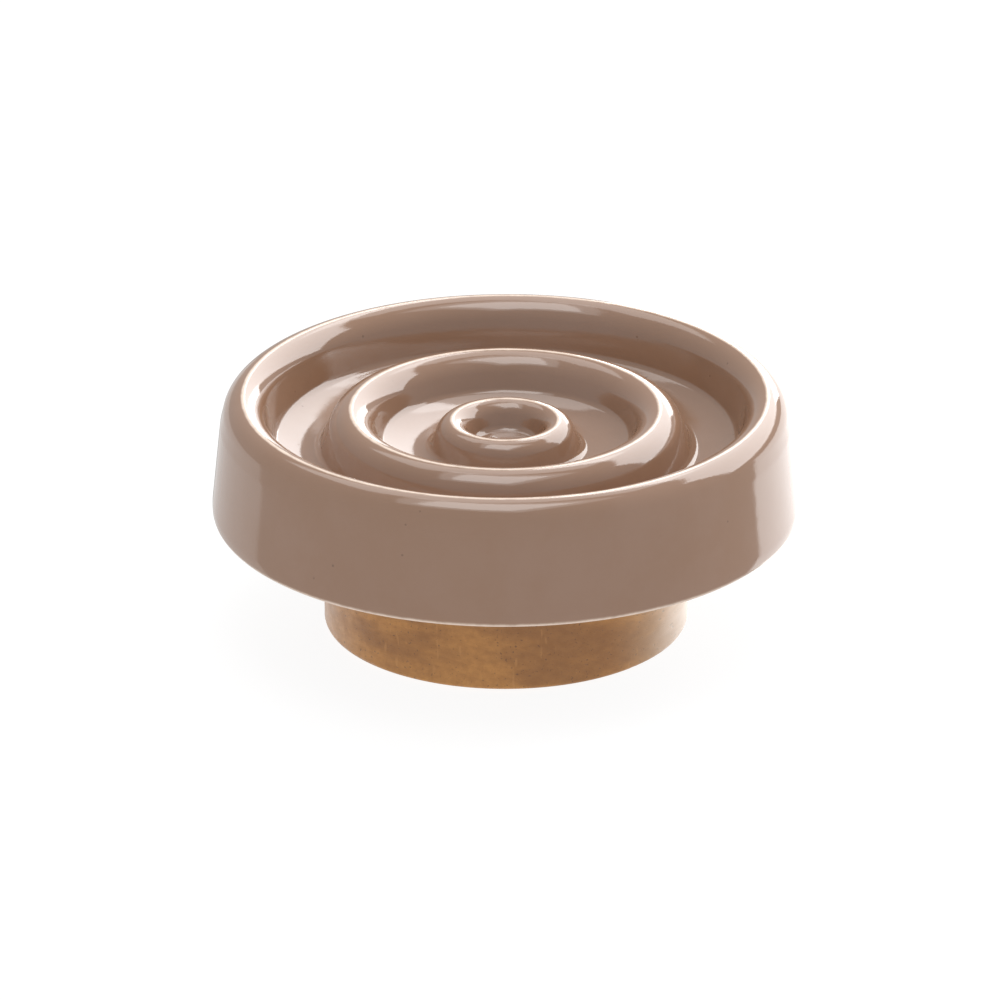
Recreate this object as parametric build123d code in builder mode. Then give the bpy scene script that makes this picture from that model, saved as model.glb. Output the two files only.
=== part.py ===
"""Slow feeder dish: a glazed stoneware dish with three concentric ridges, which lifts off a turned wooden base.

Frame: millimetres, +Z up, origin on the resting plane under the centre of the dish.
"""

import os
from math import cos, radians, sin, tan

from build123d import *

# ---- Driving dimensions (mm) ----

# Wooden base
base_radius = 51.0
base_height = 45.3
base_top_edge = 1.6
base_bottom_edge = 1.2
recess_wall = 4.4
recess_depth = 4.5
recess_mouth_chamfer = 0.8
land_width = 18.0
hollow_depth = 3.0
hollow_edge = 1.5

# Silicone foot pads, let into the underside of the base
pad_count = 4
pad_radius = 6.0
pad_thickness = 2.6
pad_stand = 1.0
pad_edge = 0.5
pad_inset = 8.8
pad_first_angle = 45.0
pad_side_clearance = 0.15

# Silicone grip ring, in a groove in the floor of the recess
grip_thickness = 1.6
grip_groove_depth = 0.8
grip_edge = 0.3
grip_side_clearance = 0.1

# Foot ring of the dish, which drops into the recess and stands on the grip ring
foot_ring_width = 4.4
foot_ring_taper = 0.6
foot_ring_edge = 0.9
foot_ring_root_round = 1.0
foot_ring_clearance = 0.6
underside_gap = 0.3

# Dish: floor, skirt and rim
dish_radius = 82.0
floor_thickness = 5.5
skirt_drop = 12.9
skirt_wall = 5.0
skirt_edge = 1.5
skirt_bulge_height = 3.0
skirt_tuck = 0.2
skirt_round = 12.0
rim_crest_inset = 9.0
rim_height = 16.2
rim_shoulder_inset = 4.3
rim_shoulder_drop = 0.7
rim_shoulder_round = 6.4
rim_waist_inset = 2.5
rim_waist_drop = 8.4
rim_waist_round = 12.0
rim_hollow_rise = 7.0
rim_hollow_width = 6.0
rim_hollow_round = 2.5
rim_hollow_outer_lean = 1.0
rim_hollow_inner_lean = 2.0

# Ridges: where the crest is, how high it stands over the floor, and how far its two sides spread
rim_inner_spread = 9.0
middle_crest_radius = 43.0
middle_height = 11.9
middle_inner_spread = 9.0
middle_outer_spread = 9.0
centre_crest_radius = 14.9
centre_height = 8.6
centre_inner_spread = 6.0
centre_outer_spread = 6.3

# Rounding of the ridges
crest_round = 1.2
shoulder_round = 7.3
small_shoulder_round = 4.6
trough_round = 7.8
well_round = 5.0
shoulder_share_out = 0.54
shoulder_share_down = 0.055
fillet_room = 0.98

# ---- Levels worked out from the dimensions above ----

base_bottom = pad_stand
base_top = base_bottom + base_height
recess_floor = base_top - recess_depth
grip_top = recess_floor - grip_groove_depth + grip_thickness
underside = base_top + underside_gap
floor_top = underside + floor_thickness
skirt_bottom = underside - skirt_drop
rim_top = floor_top + rim_height
recess_radius = base_radius - recess_wall
hollow_radius = base_radius - land_width
pad_circle_radius = base_radius - pad_inset
foot_ring_radius = recess_radius - foot_ring_clearance
foot_ring_inner_radius = foot_ring_radius - foot_ring_width
pad_pocket_depth = pad_thickness - pad_stand
rim_crest_radius = dish_radius - rim_crest_inset
rim_hollow_outer_radius = dish_radius - skirt_wall
rim_hollow_inner_radius = rim_hollow_outer_radius - rim_hollow_width


def ridge(crest_radius, height, inner_spread, outer_spread, shoulder, inner_foot):
    """Corners of one ridge from its inner side to its outer side, each as (radius, height, rounding).

    The ridge is a broad arch: a tight crest between two full shoulders, with a concave sweep at each foot.
    """
    crest_level = floor_top + height
    shoulder_level = crest_level - shoulder_share_down * height
    return [
        (crest_radius - inner_spread, floor_top, inner_foot),
        (crest_radius - shoulder_share_out * inner_spread, shoulder_level, shoulder),
        (crest_radius, crest_level, crest_round),
        (crest_radius + shoulder_share_out * outer_spread, shoulder_level, shoulder),
        (crest_radius + outer_spread, floor_top, trough_round),
    ]


def rim():
    """Corners of the rim, from the foot of its inner side over the crest and down the outer wall."""
    inner = ridge(rim_crest_radius, rim_height, rim_inner_spread, 0, shoulder_round, trough_round)[:3]
    return inner + [
        (dish_radius - rim_shoulder_inset, rim_top - rim_shoulder_drop, rim_shoulder_round),
        (dish_radius - rim_waist_inset, rim_top - rim_waist_drop, rim_waist_round),
        (dish_radius, skirt_bottom + skirt_bulge_height, skirt_round),
        (dish_radius - skirt_tuck, skirt_bottom, skirt_edge),
    ]


def dish_underside():
    """Corners under the dish, from the skirt's inner edge in to the axis."""
    hollow_top = underside + rim_hollow_rise
    return [
        (rim_hollow_outer_radius, skirt_bottom, skirt_edge),
        (rim_hollow_outer_radius - rim_hollow_outer_lean, hollow_top, rim_hollow_round),
        (rim_hollow_inner_radius, hollow_top, rim_hollow_round),
        (rim_hollow_inner_radius - rim_hollow_inner_lean, underside, rim_hollow_round),
        (foot_ring_radius + foot_ring_taper, underside, foot_ring_root_round),
        (foot_ring_radius, grip_top, foot_ring_edge),
        (foot_ring_inner_radius, grip_top, foot_ring_edge),
        (foot_ring_inner_radius - foot_ring_taper, underside, foot_ring_root_round),
        (0, underside, 0),
    ]


def fitted(corners):
    """The corners with each rounding no larger than its two straight sides have room for.

    A rounding uses up rounding / tan(half the corner's angle) of both sides. Where two neighbours want more than their
    shared side, both shrink in proportion.
    """
    points = [Vector(r, z) for r, z, _ in corners]
    count = len(points)
    reaches = []
    for i, (_, _, rounding) in enumerate(corners):
        before, after = points[i - 1] - points[i], points[(i + 1) % count] - points[i]
        reaches.append(rounding / tan(radians(before.get_angle(after) / 2)))
    shares = [1.0] * count
    for i in range(count):
        after = (i + 1) % count
        wanted = reaches[i] + reaches[after]
        room = fillet_room * (points[after] - points[i]).length
        if wanted > room:
            shares[i], shares[after] = min(shares[i], room / wanted), min(shares[after], room / wanted)
    return [(r, z, rounding * share) for (r, z, rounding), share in zip(corners, shares)]


# ---- Stoneware dish ----

centre_ridge = ridge(
    centre_crest_radius,
    centre_height,
    centre_inner_spread,
    centre_outer_spread,
    small_shoulder_round,
    well_round,
)
middle_ridge = ridge(
    middle_crest_radius,
    middle_height,
    middle_inner_spread,
    middle_outer_spread,
    shoulder_round,
    trough_round,
)
dish_corners = fitted([(0, floor_top, 0)] + centre_ridge + middle_ridge + rim() + dish_underside())

with BuildPart() as dish:
    with BuildSketch(Plane.XZ):
        with BuildLine():
            FilletPolyline(
                *[(r, z) for r, z, _ in dish_corners],
                radius=[rounding for _, _, rounding in dish_corners],
                close=True,
            )
        make_face()
    revolve(axis=Axis.Z)

# ---- Turned wooden base ----

pad_places = [
    (
        pad_circle_radius * cos(radians(pad_first_angle + 360 * i / pad_count)),
        pad_circle_radius * sin(radians(pad_first_angle + 360 * i / pad_count)),
    )
    for i in range(pad_count)
]

with BuildPart() as wooden_base:
    with BuildSketch(Plane.XY.offset(base_bottom)):
        Circle(base_radius)
    extrude(amount=base_height)
    fillet(wooden_base.edges().sort_by(Axis.Z)[-1], base_top_edge)
    fillet(wooden_base.edges().sort_by(Axis.Z)[0], base_bottom_edge)
    # Recess for the dish's foot ring
    with BuildSketch(Plane.XY.offset(base_top)):
        Circle(recess_radius)
    extrude(amount=-recess_depth, mode=Mode.SUBTRACT)
    mouth = wooden_base.edges().filter_by(GeomType.CIRCLE).group_by(Axis.Z)[-1].sort_by(SortBy.RADIUS)[0]
    chamfer(mouth, recess_mouth_chamfer)
    # Groove for the grip ring
    with BuildSketch(Plane.XY.offset(recess_floor)):
        Circle(foot_ring_radius + grip_side_clearance)
        Circle(foot_ring_inner_radius - grip_side_clearance, mode=Mode.SUBTRACT)
    extrude(amount=-grip_groove_depth, mode=Mode.SUBTRACT)
    # Shallow hollow under the base, so that it stands on its outer land
    with BuildSketch(Plane.XY.offset(base_bottom)):
        Circle(hollow_radius)
    extrude(amount=hollow_depth, mode=Mode.SUBTRACT)
    hollow_mouth = wooden_base.edges().filter_by(GeomType.CIRCLE).group_by(Axis.Z)[0].sort_by(SortBy.RADIUS)[0]
    fillet(hollow_mouth, hollow_edge)
    # Pockets for the foot pads
    with BuildSketch(Plane.XY.offset(base_bottom)):
        with Locations(*pad_places):
            Circle(pad_radius + pad_side_clearance)
    extrude(amount=pad_pocket_depth, mode=Mode.SUBTRACT)

# ---- Silicone grip ring ----

with BuildPart() as grip_ring:
    with BuildSketch(Plane.XY.offset(grip_top - grip_thickness)):
        Circle(foot_ring_radius)
        Circle(foot_ring_inner_radius, mode=Mode.SUBTRACT)
    extrude(amount=grip_thickness)
    fillet(grip_ring.edges().filter_by(GeomType.CIRCLE), grip_edge)

# ---- Silicone foot pads ----

foot_pads = []
for x, y in pad_places:
    with BuildPart() as foot_pad:
        with BuildSketch(Plane.XY):
            with Locations((x, y)):
                Circle(pad_radius)
        extrude(amount=pad_thickness)
        fillet(foot_pad.edges().filter_by(GeomType.CIRCLE).sort_by(Axis.Z)[0], pad_edge)
    foot_pads.append(foot_pad)

# ---- Write one STEP per piece ----

dish.part.label = "dish"
wooden_base.part.label = "wooden_base"
grip_ring.part.label = "grip_ring"
pieces = [dish.part, wooden_base.part, grip_ring.part]
for number, foot_pad in enumerate(foot_pads, start=1):
    foot_pad.part.label = f"foot_pad_{number}"
    pieces.append(foot_pad.part)

os.makedirs("parts", exist_ok=True)
for piece in pieces:
    export_step(piece, f"parts/{piece.label}.step")
    print(piece.label, "volume", round(piece.volume), "mm3")
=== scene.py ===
# Slow feeder dish on its turned wooden base: glaze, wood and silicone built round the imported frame
import math

import bpy
import numpy as np
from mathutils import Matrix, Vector


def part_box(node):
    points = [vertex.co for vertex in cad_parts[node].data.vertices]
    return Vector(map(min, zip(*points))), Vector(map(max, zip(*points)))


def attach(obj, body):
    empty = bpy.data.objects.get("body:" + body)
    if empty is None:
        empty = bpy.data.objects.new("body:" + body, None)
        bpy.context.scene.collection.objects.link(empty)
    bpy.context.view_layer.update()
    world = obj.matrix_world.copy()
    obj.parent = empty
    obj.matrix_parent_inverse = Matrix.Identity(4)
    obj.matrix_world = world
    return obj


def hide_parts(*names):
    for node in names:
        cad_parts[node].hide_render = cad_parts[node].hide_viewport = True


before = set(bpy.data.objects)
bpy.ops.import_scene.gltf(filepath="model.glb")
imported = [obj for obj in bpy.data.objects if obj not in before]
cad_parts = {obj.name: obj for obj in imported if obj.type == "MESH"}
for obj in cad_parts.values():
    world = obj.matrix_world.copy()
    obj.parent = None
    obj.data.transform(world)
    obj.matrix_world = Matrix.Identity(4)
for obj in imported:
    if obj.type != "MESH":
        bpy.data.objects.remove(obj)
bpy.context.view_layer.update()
mm = 0.001
print("frame loaded:", sorted(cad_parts))

meshing = {"run": 1.8, "arcStep": 4.0, "smallArcStep": 7.5, "smallRounding": 3.0, "leastArcPoints": 4}


def roundedOutline(corners, run):
    # Outline in the (radius, height) plane: straight runs joined by tangent arcs, one arc for each corner.
    # The arc's centre lies on the bisector at rounding / sin(half angle). Its points are centre + rounding
    # times unit vectors that turn evenly from one tangent point to the other.
    # Returns the points and the distance along the outline.
    points = np.array([corner[:2] for corner in corners], float)
    pieces = [points[:1]]
    roundings = [corner[2] for corner in corners[1:-1]]
    for before, corner, after, rounding in zip(points[:-2], points[1:-1], points[2:], roundings):
        toBefore = (before - corner) / np.linalg.norm(before - corner)
        toAfter = (after - corner) / np.linalg.norm(after - corner)
        half = math.acos(float(np.clip(toBefore @ toAfter, -1, 1))) / 2
        if rounding <= 0 or half > math.pi / 2 - 1e-4:
            pieces.append(corner[None])
            continue
        reach = rounding / math.tan(half)
        bisector = (toBefore + toAfter) / np.linalg.norm(toBefore + toAfter)
        centre = corner + bisector * rounding / math.sin(half)
        start, end = corner + toBefore * reach - centre, corner + toAfter * reach - centre
        turn = math.atan2(start[0] * end[1] - start[1] * end[0], start @ end)
        arcStep = meshing["smallArcStep"] if rounding < meshing["smallRounding"] else meshing["arcStep"]
        count = max(meshing["leastArcPoints"], math.ceil(abs(math.degrees(turn)) / arcStep))
        angle = np.linspace(0, turn, count + 1)[:, None]
        across = np.array([-start[1], start[0]])
        pieces.append(centre + np.cos(angle) * start + np.sin(angle) * across)
    pieces.append(points[-1:])
    rough = np.concatenate(pieces)
    rough = rough[np.r_[True, np.linalg.norm(np.diff(rough, axis=0), axis=1) > 1e-6]]
    gaps = np.linalg.norm(np.diff(rough, axis=0), axis=1)
    # long straight runs are divided evenly
    filled = [np.linspace(start, end, max(1, int(math.ceil(gap / run))), endpoint=False)
              for start, end, gap in zip(rough[:-1], rough[1:], gaps)]
    outline = np.concatenate(filled + [rough[-1:]])
    along = np.r_[0, np.cumsum(np.linalg.norm(np.diff(outline, axis=0), axis=1))]
    return outline, along


def turnedMesh(name, outline, around, wobble=None, centre=(0, 0)):
    # Surface of two parameters, the angle round +Z and the place along the outline:
    # (r cos angle, r sin angle, z). The outline runs from the axis outwards and back to the axis, so both
    # ends close in one pole point each.
    angle = np.linspace(0, 2 * math.pi, around, endpoint=False)
    r, z = outline[1:-1, 0], outline[1:-1, 1]
    radius = np.repeat(r[:, None], around, 1)
    height = np.repeat(z[:, None], around, 1)
    if wobble is not None:
        # each point moves along the outline's outward normal
        tangent = np.gradient(outline, axis=0)[1:-1]
        normal = np.stack([-tangent[:, 1], tangent[:, 0]], 1)
        normal /= np.linalg.norm(normal, axis=1)[:, None]
        offset = wobble(angle[None, :], r[:, None], z[:, None])
        radius = radius + normal[:, :1] * offset
        height = height + normal[:, 1:] * offset
    grid = np.stack([radius * np.cos(angle) + centre[0], radius * np.sin(angle) + centre[1], height], 2)
    rows = len(r)
    poles = np.array([[centre[0], centre[1], outline[0, 1]], [centre[0], centre[1], outline[-1, 1]]])
    vertices = np.concatenate([grid.reshape(-1, 3), poles]) * mm
    row, place = np.meshgrid(np.arange(rows - 1), np.arange(around), indexing="ij")
    nextPlace = (place + 1) % around
    here, below = row * around, (row + 1) * around
    quads = np.stack([here + place, below + place, below + nextPlace, here + nextPlace], 2).reshape(-1, 4)
    ring = np.arange(around)
    following = (ring + 1) % around
    last = (rows - 1) * around
    top = np.stack([ring, following, np.full(around, rows * around)], 1)
    bottom = np.stack([last + following, last + ring, np.full(around, rows * around + 1)], 1)
    mesh = bpy.data.meshes.new(name)
    mesh.from_pydata(vertices.tolist(), [], quads.tolist() + top.tolist() + bottom.tolist())
    mesh.polygons.foreach_set("use_smooth", np.ones(len(mesh.polygons), bool))
    mesh.update()
    piece = bpy.data.objects.new(name, mesh)
    bpy.context.scene.collection.objects.link(piece)
    return piece


def pointAttribute(piece, name, outlineValues, around):
    # one value for each outline point, carried round the axis
    values = np.concatenate([np.repeat(outlineValues[1:-1], around), outlineValues[[0, -1]]])
    piece.data.attributes.new(name, "FLOAT", "POINT").data.foreach_set("value", values.astype(np.float32))


class Graph:
    # a new material with a shader, and short calls for the nodes that feed it
    def __init__(self, name):
        self.material = bpy.data.materials.new(name)
        self.material.use_nodes = True
        self.tree = self.material.node_tree
        self.tree.nodes.clear()
        self.shader = self.add("ShaderNodeBsdfPrincipled")
        output = self.add("ShaderNodeOutputMaterial")
        self.tree.links.new(self.shader.outputs[0], output.inputs["Surface"])
        self.place = self.add("ShaderNodeTexCoord").outputs["Object"]

    def add(self, kind, **values):
        node = self.tree.nodes.new(kind)
        for key, value in values.items():
            setattr(node, key, value)
        return node

    def put(self, socket, value):
        if isinstance(value, bpy.types.NodeSocket):
            self.tree.links.new(value, socket)
        else:
            socket.default_value = value

    def surface(self, name, value):
        # sets one socket of the shader, by a value or by another node
        self.put(self.shader.inputs[name], value)

    def mapped(self, scale=(1, 1, 1), turn=(0, 0, 0), shift=(0, 0, 0), vector=None):
        node = self.add("ShaderNodeMapping")
        self.put(node.inputs["Vector"], vector or self.place)
        node.inputs["Scale"].default_value = scale
        node.inputs["Rotation"].default_value = turn
        node.inputs["Location"].default_value = shift
        return node.outputs[0]

    def split(self, vector):
        node = self.add("ShaderNodeSeparateXYZ")
        self.put(node.inputs[0], vector)
        return node.outputs

    def noise(self, scale, detail=2.0, rough=0.5, vector=None):
        node = self.add("ShaderNodeTexNoise")
        self.put(node.inputs["Vector"], vector or self.place)
        node.inputs["Scale"].default_value = scale
        node.inputs["Detail"].default_value = detail
        node.inputs["Roughness"].default_value = rough
        return node.outputs["Fac"]

    def cells(self, scale):
        node = self.add("ShaderNodeTexVoronoi")
        self.put(node.inputs["Vector"], self.place)
        node.inputs["Scale"].default_value = scale
        return node.outputs["Distance"]

    def math(self, operation, first, second=0.0):
        node = self.add("ShaderNodeMath", operation=operation)
        self.put(node.inputs[0], first)
        self.put(node.inputs[1], second)
        return node.outputs[0]

    def length(self, first, second):
        squares = [self.math("MULTIPLY", part, part) for part in (first, second)]
        return self.math("SQRT", self.math("ADD", *squares))

    def span(self, value, low, high, toLow=0.0, toHigh=1.0):
        node = self.add("ShaderNodeMapRange", interpolation_type="SMOOTHSTEP")
        self.put(node.inputs["Value"], value)
        for key, number in zip(("From Min", "From Max", "To Min", "To Max"), (low, high, toLow, toHigh)):
            node.inputs[key].default_value = number
        return node.outputs[0]

    def mix(self, share, first, second):
        node = self.add("ShaderNodeMix", data_type="RGBA", blend_type="MIX")
        self.put(node.inputs["Factor"], share)
        self.put(node.inputs["A"], first)
        self.put(node.inputs["B"], second)
        return node.outputs["Result"]

    def tint(self, colour, amount, share, towards):
        # moves a colour towards another by share wherever amount is 1
        return self.mix(self.math("MULTIPLY", amount, share), colour, towards)

    def attribute(self, name):
        return self.add("ShaderNodeAttribute", attribute_name=name).outputs["Fac"]

    def bump(self, height, distance, strength, normal=None):
        node = self.add("ShaderNodeBump")
        self.put(node.inputs["Height"], height)
        node.inputs["Distance"].default_value = distance
        node.inputs["Strength"].default_value = strength
        if normal is not None:
            self.put(node.inputs["Normal"], normal)
        return node.outputs[0]


def tone(red, green, blue):
    # a screen colour from 0 to 255 as the linear colour that shaders take
    screen = np.array([red, green, blue]) / 255
    linear = np.where(screen <= 0.04045, screen / 12.92, ((screen + 0.055) / 1.055) ** 2.4)
    return (*linear.tolist(), 1.0)


# The dish, in millimetres. Each ridge has its crest's radius, its height over the floor, the spread of its
# two sides, its shoulders' rounding, and the height at which its inner wall meets the sweep of the floor.
dish = {
    "radius": 82.0, "floorOverUnderside": 5.5, "around": 250,
    "skirtDrop": 12.9, "skirtWall": 5.0, "skirtEdge": 1.5, "skirtTuck": 0.2,
    "bulgeHeight": 3.0, "bulgeRound": 12.0,
    "centre": {"crest": 14.9, "height": 8.6, "inner": 6.0, "outer": 6.3, "shoulder": 4.6, "toe": 1.6},
    "middle": {"crest": 43.0, "height": 11.9, "inner": 9.0, "outer": 9.0, "shoulder": 7.3, "toe": 2.4},
    "rim": {"crest": 73.0, "height": 16.2, "inner": 9.0, "outer": 0.0, "shoulder": 7.3, "toe": 2.4},
    "shoulderOut": 0.54, "shoulderDown": 0.055, "crestRound": 1.2, "toeRound": 2.3, "sweepShare": 0.74,
    "rimShoulderInset": 4.3, "rimShoulderDrop": 0.7, "rimShoulderRound": 6.4,
    "rimWaistInset": 2.5, "rimWaistDrop": 8.4, "rimWaistRound": 12.0,
    "hollowRise": 7.0, "hollowWidth": 6.0, "hollowRound": 2.5, "hollowOuterLean": 1.0, "hollowInnerLean": 2.0,
    "footRadius": 46.0, "footWidth": 4.4, "footEdge": 0.9, "footTaper": 0.6, "footRootRound": 1.0,
    "wobble": 0.03, "wobbleSeed": 7, "wobbleTurns": (2, 3, 5, 7, 9, 13), "wobbleSum": 2.2,
    "breakWidth": 0.75, "edgeBreakWidth": 1.1, "poolWidth": 3.2, "bareHeight": 3.0, "bareFade": 0.5,
}
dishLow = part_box("dish")[0]
skirtBottom = dishLow.z / mm
underside = skirtBottom + dish["skirtDrop"]
floorLevel = underside + dish["floorOverUnderside"]
dishRadius = dish["radius"]
rimTop = floorLevel + dish["rim"]["height"]
hollowOuter = dishRadius - dish["skirtWall"]
hollowInner = hollowOuter - dish["hollowWidth"]
hollowTop = underside + dish["hollowRise"]
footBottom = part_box("grip_ring")[1].z / mm
footInner = dish["footRadius"] - dish["footWidth"]


def ridgeCorners(ridge):
    # From the inner toe over the inner shoulder, the crest and the outer shoulder to the outer toe. The inner
    # wall ends where the sweep of the floor meets it, and the outer wall ends at the floor.
    crest, toe, shoulder = ridge["crest"], ridge["toe"], ridge["shoulder"]
    level = floorLevel + ridge["height"]
    shoulderLevel = level - dish["shoulderDown"] * ridge["height"]
    reach = 1 - (1 - dish["shoulderOut"]) * toe / (shoulderLevel - floorLevel)
    return [
        (crest - reach * ridge["inner"], floorLevel + toe, dish["toeRound"]),
        (crest - dish["shoulderOut"] * ridge["inner"], shoulderLevel, shoulder),
        (crest, level, dish["crestRound"]),
        (crest + dish["shoulderOut"] * ridge["outer"], shoulderLevel, shoulder),
        (crest + ridge["outer"], floorLevel, dish["toeRound"]),
    ]


def sweepCorner(left, right):
    # A floor that starts level at the left toe and rises in one arc to the right toe. With the slope s at its
    # end, tan(s / 2) = rise / width, and the corner lies width / (1 + cos s) from the left toe.
    width, rise = right[0] - left[0], right[1] - left[1]
    slope = 2 * math.atan2(rise, width)
    run = width / (1 + math.cos(slope))
    return (left[0] + run, left[1], dish["sweepShare"] * run / math.tan(slope / 2))


def outerWallCorners():
    # from the rim's outer shoulder down to the skirt's outer edge
    return [
        (dishRadius - dish["rimShoulderInset"], rimTop - dish["rimShoulderDrop"], dish["rimShoulderRound"]),
        (dishRadius - dish["rimWaistInset"], rimTop - dish["rimWaistDrop"], dish["rimWaistRound"]),
        (dishRadius, skirtBottom + dish["bulgeHeight"], dish["bulgeRound"]),
        (dishRadius - dish["skirtTuck"], skirtBottom, dish["skirtEdge"]),
    ]


def undersideCorners():
    # from the skirt's inner edge through the rim's hollow and round the foot ring to the axis
    footRadius, taper = dish["footRadius"], dish["footTaper"]
    return [
        (hollowOuter, skirtBottom, dish["skirtEdge"]),
        (hollowOuter - dish["hollowOuterLean"], hollowTop, dish["hollowRound"]),
        (hollowInner, hollowTop, dish["hollowRound"]),
        (hollowInner - dish["hollowInnerLean"], underside, dish["hollowRound"]),
        (footRadius + taper, underside, dish["footRootRound"]),
        (footRadius, footBottom, dish["footEdge"]),
        (footInner, footBottom, dish["footEdge"]),
        (footInner - taper, underside, dish["footRootRound"]),
        (0, underside, 0),
    ]


centreRidge, middleRidge = ridgeCorners(dish["centre"]), ridgeCorners(dish["middle"])
rimRidge = ridgeCorners(dish["rim"])[:3]  # the outer wall takes over from the crest
outerWall, undersideRun = outerWallCorners(), undersideCorners()
floorMiddle = (0, floorLevel, 0)
outline, along = roundedOutline(
    [floorMiddle, sweepCorner(floorMiddle, centreRidge[0])]
    + centreRidge + [sweepCorner(centreRidge[-1], middleRidge[0])]
    + middleRidge + [sweepCorner(middleRidge[-1], rimRidge[0])]
    + rimRidge + outerWall + undersideRun,
    meshing["run"],
)


def glazeWobble(angle, r, z):
    # Slow unevenness of a poured glaze: a sum of waves round the axis, leaning a little with r + z. It fades
    # out near the axis and on the underside.
    draw = np.random.default_rng(dish["wobbleSeed"])
    total = 0
    for turns in dish["wobbleTurns"]:
        phase, lean = draw.uniform(0, 2 * math.pi), draw.uniform(-0.2, 0.2)
        total = total + np.sin(turns * angle + phase + lean * (r + z)) / turns ** 0.6
    onTop = np.clip((z - underside - 2) / 3, 0, 1) + np.clip((r - hollowOuter) / 2, 0, 1)
    return dish["wobble"] * total / dish["wobbleSum"] * np.clip(onTop, 0, 1) * np.clip(r / 12, 0, 1)


def nearCorners(chosen, width):
    # a bell over the distance along the outline from each chosen corner
    value = np.zeros(len(along))
    for corner in chosen:
        nearest = np.argmin(np.linalg.norm(outline - np.array(corner[:2]), axis=1))
        value = np.maximum(value, np.exp(-((along - along[nearest]) / width) ** 2))
    return value


dishPiece = turnedMesh("glazed_dish", outline, dish["around"], glazeWobble)
crests = [centreRidge[2], middleRidge[2], rimRidge[2]]
skirtEdges = [outerWall[-1], undersideRun[0]]
toes = [centreRidge[0], centreRidge[-1], middleRidge[0], middleRidge[-1], rimRidge[0]]
bare = np.clip((footBottom + dish["bareHeight"] - outline[:, 1]) / dish["bareFade"], 0, 1)
bare = bare * (outline[:, 0] < dish["footRadius"] + 3)
for attributeName, values in (
    ("crest", nearCorners(crests, dish["breakWidth"])),
    ("edge", nearCorners(skirtEdges, dish["edgeBreakWidth"])),
    ("pool", nearCorners(toes, dish["poolWidth"])),
    ("bare", bare),
):
    pointAttribute(dishPiece, attributeName, values, dish["around"])
print("dish made:", len(outline), "outline points,", len(dishPiece.data.polygons), "faces")

glazeLook = {
    "body": tone(152, 118, 95), "warm": tone(147, 111, 85), "rosy": tone(155, 122, 102),
    "pool": tone(141, 109, 87), "thin": tone(246, 224, 206), "iron": tone(96, 70, 54),
    "clay": tone(222, 204, 182), "grog": tone(198, 176, 150),
    "roughness": 0.07, "bareRoughness": 0.75, "ior": 1.88,
    "driftScale": 16, "cloudScale": 48, "raggedScale": 260, "speckScale": 210, "speckPatchScale": 55,
    "grogScale": 1600, "polishScale": 90, "peelScale": 130, "fineScale": 2200, "gritScale": 2600,
}


def glazeMaterial():
    glaze = Graph("taupe_glaze")
    drift = glaze.span(glaze.noise(glazeLook["driftScale"], 3), 0.35, 0.65)
    cloud = glaze.span(glaze.noise(glazeLook["cloudScale"], 4, 0.6), 0.3, 0.7)
    colour = glaze.tint(glazeLook["body"], drift, 0.6, glazeLook["rosy"])
    colour = glaze.tint(colour, cloud, 0.45, glazeLook["warm"])
    colour = glaze.tint(colour, glaze.attribute("pool"), 0.3, glazeLook["pool"])
    # the glaze runs thin and pale over the crests and the skirt's edge, with a ragged margin
    ragged = glaze.span(glaze.noise(glazeLook["raggedScale"], 3, 0.6), 0.2, 0.8, 0.75, 1.1)
    crest = glaze.span(glaze.math("MULTIPLY", glaze.attribute("crest"), ragged), 0.25, 0.95)
    edge = glaze.span(glaze.math("MULTIPLY", glaze.attribute("edge"), ragged), 0.2, 0.95, 0, 0.8)
    colour = glaze.mix(glaze.math("MAXIMUM", crest, edge), colour, glazeLook["thin"])
    # a few pin-sized iron specks
    speck = glaze.span(glaze.cells(glazeLook["speckScale"]), 0.05, 0.10, 1, 0)
    patches = glaze.span(glaze.noise(glazeLook["speckPatchScale"], 0), 0.62, 0.68)
    speck = glaze.math("MULTIPLY", speck, patches)
    colour = glaze.tint(colour, speck, 0.5, glazeLook["iron"])
    # bare clay where the foot ring was wiped
    bareClay = glaze.attribute("bare")
    grain = glaze.span(glaze.noise(glazeLook["grogScale"], 2), 0.35, 0.7)
    colour = glaze.mix(bareClay, colour, glaze.mix(grain, glazeLook["clay"], glazeLook["grog"]))
    glaze.surface("Base Color", colour)
    gloss = glazeLook["roughness"]
    polish = glaze.span(glaze.noise(glazeLook["polishScale"], 2), 0.3, 0.7, gloss * 0.8, gloss * 1.3)
    matt = glaze.math("MULTIPLY", bareClay, glazeLook["bareRoughness"])
    glaze.surface("Roughness", glaze.math("ADD", polish, matt))
    glaze.surface("IOR", glazeLook["ior"])
    peel = glaze.bump(glaze.noise(glazeLook["peelScale"], 2), 0.0002, 0.2)
    fine = glaze.bump(glaze.noise(glazeLook["fineScale"], 2), 0.00003, 0.25, peel)
    pits = glaze.bump(glaze.math("MULTIPLY", speck, -1.0), 0.00006, 0.5, fine)
    grit = glaze.math("MULTIPLY", glaze.noise(glazeLook["gritScale"], 3), bareClay)
    glaze.surface("Normal", glaze.bump(grit, 0.00008, 0.8, pits))
    return glaze.material


dishPiece.data.materials.append(glazeMaterial())
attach(dishPiece, "dish")
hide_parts("dish")
print("dish glazed")

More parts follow.
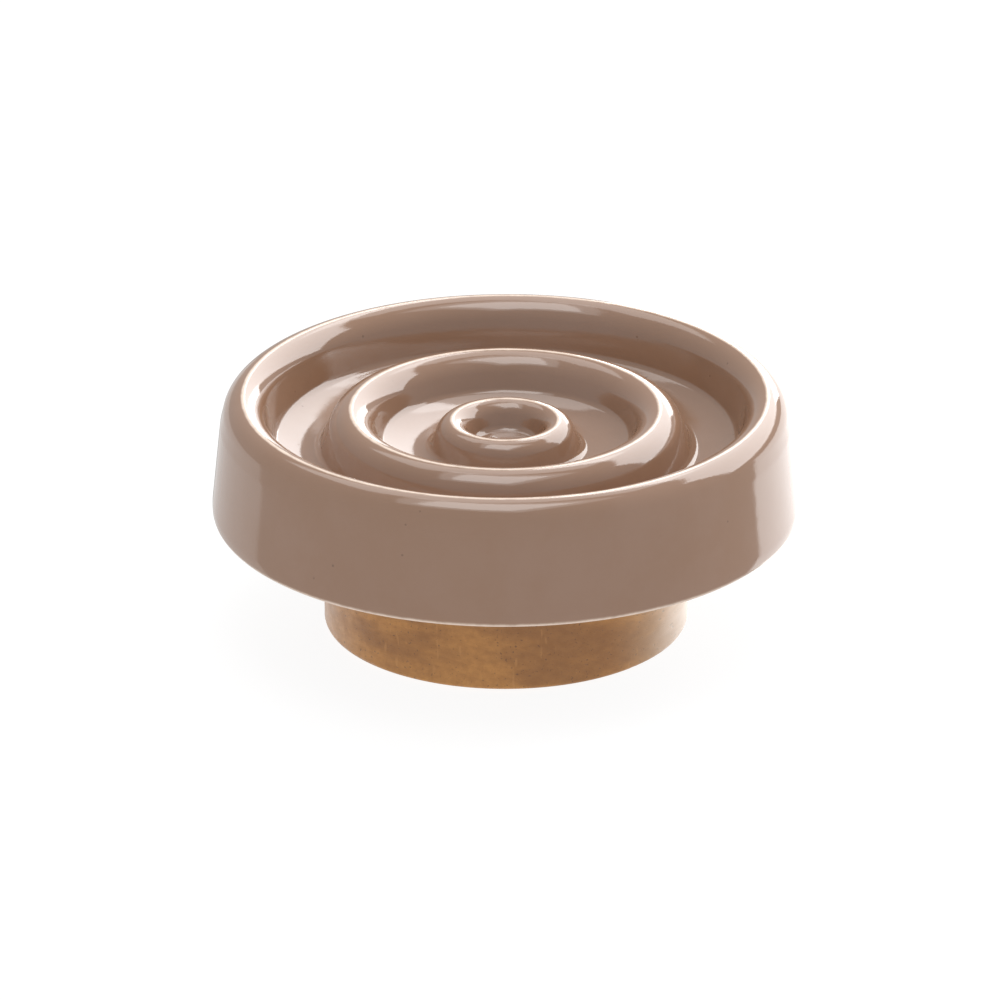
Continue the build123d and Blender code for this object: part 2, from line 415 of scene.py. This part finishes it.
woodLook = {
    # the palest tone, with its start and end along +X, is a painted highlight on the side that the back-right
    # window lights
    "pale": tone(196, 134, 56), "late": tone(146, 90, 28), "mottle": tone(132, 80, 24),
    "pore": tone(84, 48, 14), "ray": tone(200, 142, 72), "paintedHighlight": tone(232, 208, 176),
    "grainTurn": (0.02, 0.05, 0.22), "pith": (0.018, 0, 0.062), "ringScale": 330.0, "bend": 0.006,
    "fibreStretch": (1, 0.045, 1), "poreStretch": (1, 0.09, 1), "rayStretch": (1.0, 0.5, 0.22),
    "mottleStretch": (0.6, 0.6, 1.6), "paintedHighlightStart": 0.030, "paintedHighlightEnd": 0.056, "latheMarks": 9500.0,
    "ior": 1.5, "coat": 0.9, "coatRoughness": 0.34,
}


def woodMaterial():
    wood = Graph("oiled_wood")
    # grain runs along the mapped Y axis; the rings are round a pith that lies outside the block
    board = wood.mapped(turn=woodLook["grainTurn"], shift=woodLook["pith"])
    fibre = wood.mapped(scale=woodLook["fibreStretch"], vector=board)
    bend = wood.math("MULTIPLY", wood.noise(14, 3, 0.5, fibre), woodLook["bend"])
    boardParts = wood.split(board)
    fromPith = wood.math("ADD", wood.length(boardParts["X"], boardParts["Z"]), bend)
    ring = wood.math("FRACT", wood.math("MULTIPLY", fromPith, woodLook["ringScale"]))
    latewood = wood.math("MULTIPLY", wood.span(ring, 0.35, 0.92), wood.span(ring, 0.94, 1.0, 1, 0))
    streak = wood.span(wood.noise(420, 4, 0.65, fibre), 0.3, 0.72)
    colour = wood.tint(woodLook["pale"], latewood, 0.14, woodLook["late"])
    colour = wood.tint(colour, streak, 0.4, woodLook["late"])
    mottled = wood.noise(45, 3, 0.55, wood.mapped(scale=woodLook["mottleStretch"]))
    colour = wood.tint(colour, wood.span(mottled, 0.4, 0.62), 0.6, woodLook["mottle"])
    # pores are short dark dashes along the grain, and rays are pale plates across it
    alongPores = wood.mapped(scale=woodLook["poreStretch"], vector=board)
    pore = wood.span(wood.noise(1500, 1, 0.5, alongPores), 0.66, 0.76)
    colour = wood.tint(colour, pore, 0.6, woodLook["pore"])
    acrossRays = wood.mapped(scale=woodLook["rayStretch"], vector=board)
    ray = wood.span(wood.noise(620, 1, 0.5, acrossRays), 0.66, 0.74)
    colour = wood.tint(colour, ray, 0.4, woodLook["ray"])
    # painted highlight: the wood turns paler towards +X, the side that the back-right window lights
    places = wood.split(wood.place)
    paintedHighlight = wood.span(wood.math("ADD", places["X"], bend), woodLook["paintedHighlightStart"], woodLook["paintedHighlightEnd"])
    wood.surface("Base Color", wood.tint(colour, paintedHighlight, 0.45, woodLook["paintedHighlight"]))
    wood.surface("Roughness", wood.span(streak, 0, 1, 0.42, 0.58))
    wood.surface("IOR", woodLook["ior"])
    wood.surface("Coat Weight", woodLook["coat"])
    wood.surface("Coat Roughness", woodLook["coatRoughness"])
    sunken = wood.math("ADD", wood.math("MULTIPLY", pore, -1.0), wood.math("MULTIPLY", streak, -0.25))
    relief = wood.bump(sunken, 0.00008, 0.6)
    # fine marks of the turning tool, round the axis
    fromAxis = wood.length(places["X"], places["Y"])
    turning = wood.math("MULTIPLY", wood.math("ADD", fromAxis, places["Z"]), woodLook["latheMarks"])
    wood.surface("Normal", wood.bump(wood.math("SINE", turning), 0.000012, 0.5, relief))
    return wood.material


def dressNode(node, material):
    # a CAD node keeps its shape and takes a new material
    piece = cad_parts[node]
    piece.data.materials.clear()
    piece.data.materials.append(material)
    return piece


baseObject = dressNode("wooden_base", woodMaterial())
print("wooden base oiled")

# the foot pads, in millimetres, with ring-shaped grooves in the face that stands on the table
pad = {"radius": 6.0, "thickness": 2.6, "topEdge": 0.15, "edge": 0.5, "around": 96, "run": 1.2,
       "grooves": (4.4, 3.0, 1.6), "grooveDepth": 0.22, "grooveHalf": 0.22, "grooveLip": 0.08,
       "grooveFloor": 0.1}
siliconeLook = {
    "body": tone(232, 230, 222), "dust": tone(206, 202, 192), "dustShare": 0.3, "dustScale": 700,
    "grainScale": 5200, "glow": 0.3, "glowRadius": (0.002, 0.002, 0.0018), "glowScale": 0.5,
}


def siliconeMaterial():
    silicone = Graph("white_silicone")
    dust = silicone.span(silicone.noise(siliconeLook["dustScale"], 3, 0.6), 0.3, 0.75)
    colour = silicone.tint(siliconeLook["body"], dust, siliconeLook["dustShare"], siliconeLook["dust"])
    silicone.surface("Base Color", colour)
    silicone.surface("Roughness", silicone.span(dust, 0, 1, 0.42, 0.6))
    silicone.surface("Subsurface Weight", siliconeLook["glow"])
    silicone.surface("Subsurface Radius", siliconeLook["glowRadius"])
    silicone.surface("Subsurface Scale", siliconeLook["glowScale"])
    grain = silicone.noise(siliconeLook["grainScale"], 2)
    silicone.surface("Normal", silicone.bump(grain, 0.00002, 0.35))
    return silicone.material


def padOutline():
    # from the axis on the upper face, out and down the side, and back in across the grooves
    radius, half, lip = pad["radius"], pad["grooveHalf"], pad["grooveLip"]
    corners = [(0, pad["thickness"], 0), (radius, pad["thickness"], pad["topEdge"]), (radius, 0, pad["edge"])]
    for groove in pad["grooves"]:
        valley = (groove, pad["grooveDepth"], pad["grooveFloor"])
        corners += [(groove + half, 0, lip), valley, (groove - half, 0, lip)]
    return roundedOutline(corners + [(0, 0, 0)], pad["run"])[0]


silicone = siliconeMaterial()
gripObject = dressNode("grip_ring", silicone)
for number in range(1, 5):
    node = f"foot_pad_{number}"
    low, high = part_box(node)
    middle = (low + high) / 2 / mm
    piece = turnedMesh(f"grooved_pad_{number}", padOutline(), pad["around"], None, (middle.x, middle.y))
    piece.data.materials.append(silicone)
    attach(piece, "base")
    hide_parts(node)
print("silicone pieces made")

# The stage, in metres and watts. The window and the light thrown back by the table stand upright and face the
# axis, and the lamps overhead point at the dish.
target = (0, 0, 0.06)
stage = {
    "floorSize": 8.0, "floorGrey": 0.12, "floorGlow": 0.92, "worldGlow": 0.55,
    "lamps": (
        ("window_back_right", (0.83, 0.92, 1.08), (0, 0, 1.08), (2.01, 1.34), 25),
        ("window_low", (0.30, 1.20, 0.30), (0, 0, 0.30), (0.48, 0.25), 1.6),
        ("table_glow_right", (0.75, 1.06, -0.36), (0, 0, -0.36), (1.62, 1.08), 8.5),
        ("table_glow_left", (-0.85, 0.95, -0.40), (0, 0, -0.40), (1.40, 1.00), 1.6),
        ("overhead", (-0.08, -0.17, 1.25), target, (0.62, 0.70), 2.3),
        ("overhead_haze", (-0.08, -0.17, 1.32), target, (0.95, 1.10), 2.4),
        ("ceiling", (-0.1, 0.75, 1.3), target, (1.2, 0.7), 3.0),
    ),
}


def areaLamp(name, place, facing, size, watts):
    data = bpy.data.lights.new(name, "AREA")
    data.shape = "RECTANGLE"
    data.size, data.size_y = size
    data.energy = watts
    lamp = bpy.data.objects.new(name, data)
    lamp.location = place
    direction = np.array(facing) - np.array(place)
    lamp.rotation_euler = Vector(direction).to_track_quat("-Z", "Y").to_euler()
    bpy.context.scene.collection.objects.link(lamp)


def paleFloor():
    half = stage["floorSize"] / 2
    corners = [(-half, -half, 0), (half, -half, 0), (half, half, 0), (-half, half, 0)]
    mesh = bpy.data.meshes.new("floor")
    mesh.from_pydata(corners, [], [(0, 1, 2, 3)])
    floorObject = bpy.data.objects.new("floor", mesh)
    bpy.context.scene.collection.objects.link(floorObject)
    paint = Graph("pale_floor")
    paint.surface("Base Color", (stage["floorGrey"],) * 3 + (1,))
    paint.surface("Roughness", 0.9)
    paint.surface("Specular IOR Level", 0.0)
    paint.surface("Emission Color", (1, 1, 1, 1))
    paint.surface("Emission Strength", stage["floorGlow"])
    mesh.materials.append(paint.material)
    # some lamps stand below the table's level, so the floor neither shows in the glaze nor shades them
    floorObject.visible_glossy = False
    floorObject.visible_shadow = False


paleFloor()
for lampSettings in stage["lamps"]:
    areaLamp(*lampSettings)
world = bpy.data.worlds.new("studio")
bpy.context.scene.world = world
world.use_nodes = True
sky = world.node_tree.nodes["Background"].inputs
sky["Color"].default_value = (1, 1, 1, 1)
sky["Strength"].default_value = stage["worldGlow"]
bpy.context.scene.view_settings.view_transform = "Standard"
print("stage lit")

# the camera, in degrees, metres and a lens in millimetres
camera = {"elevation": 23.5, "distance": 2.4, "lens": 309.0, "sensor": 36, "roll": 0.15,
          "near": 0.05, "far": 60, "aimRight": 0.0009, "aimUp": 0.0024}
elevation = math.radians(camera["elevation"])
aim = np.array([camera["aimRight"], 0, dishLow.z + camera["aimUp"]])
back = np.array([0, -math.cos(elevation), math.sin(elevation)])
lens = bpy.data.cameras.new("camera")
lens.lens, lens.sensor_width = camera["lens"], camera["sensor"]
lens.clip_start, lens.clip_end = camera["near"], camera["far"]
viewer = bpy.data.objects.new("camera", lens)
viewer.location = aim + back * camera["distance"]
viewer.rotation_euler = (math.pi / 2 - elevation, math.radians(camera["roll"]), 0)
bpy.context.scene.collection.objects.link(viewer)
bpy.context.scene.camera = viewer
print("camera placed")
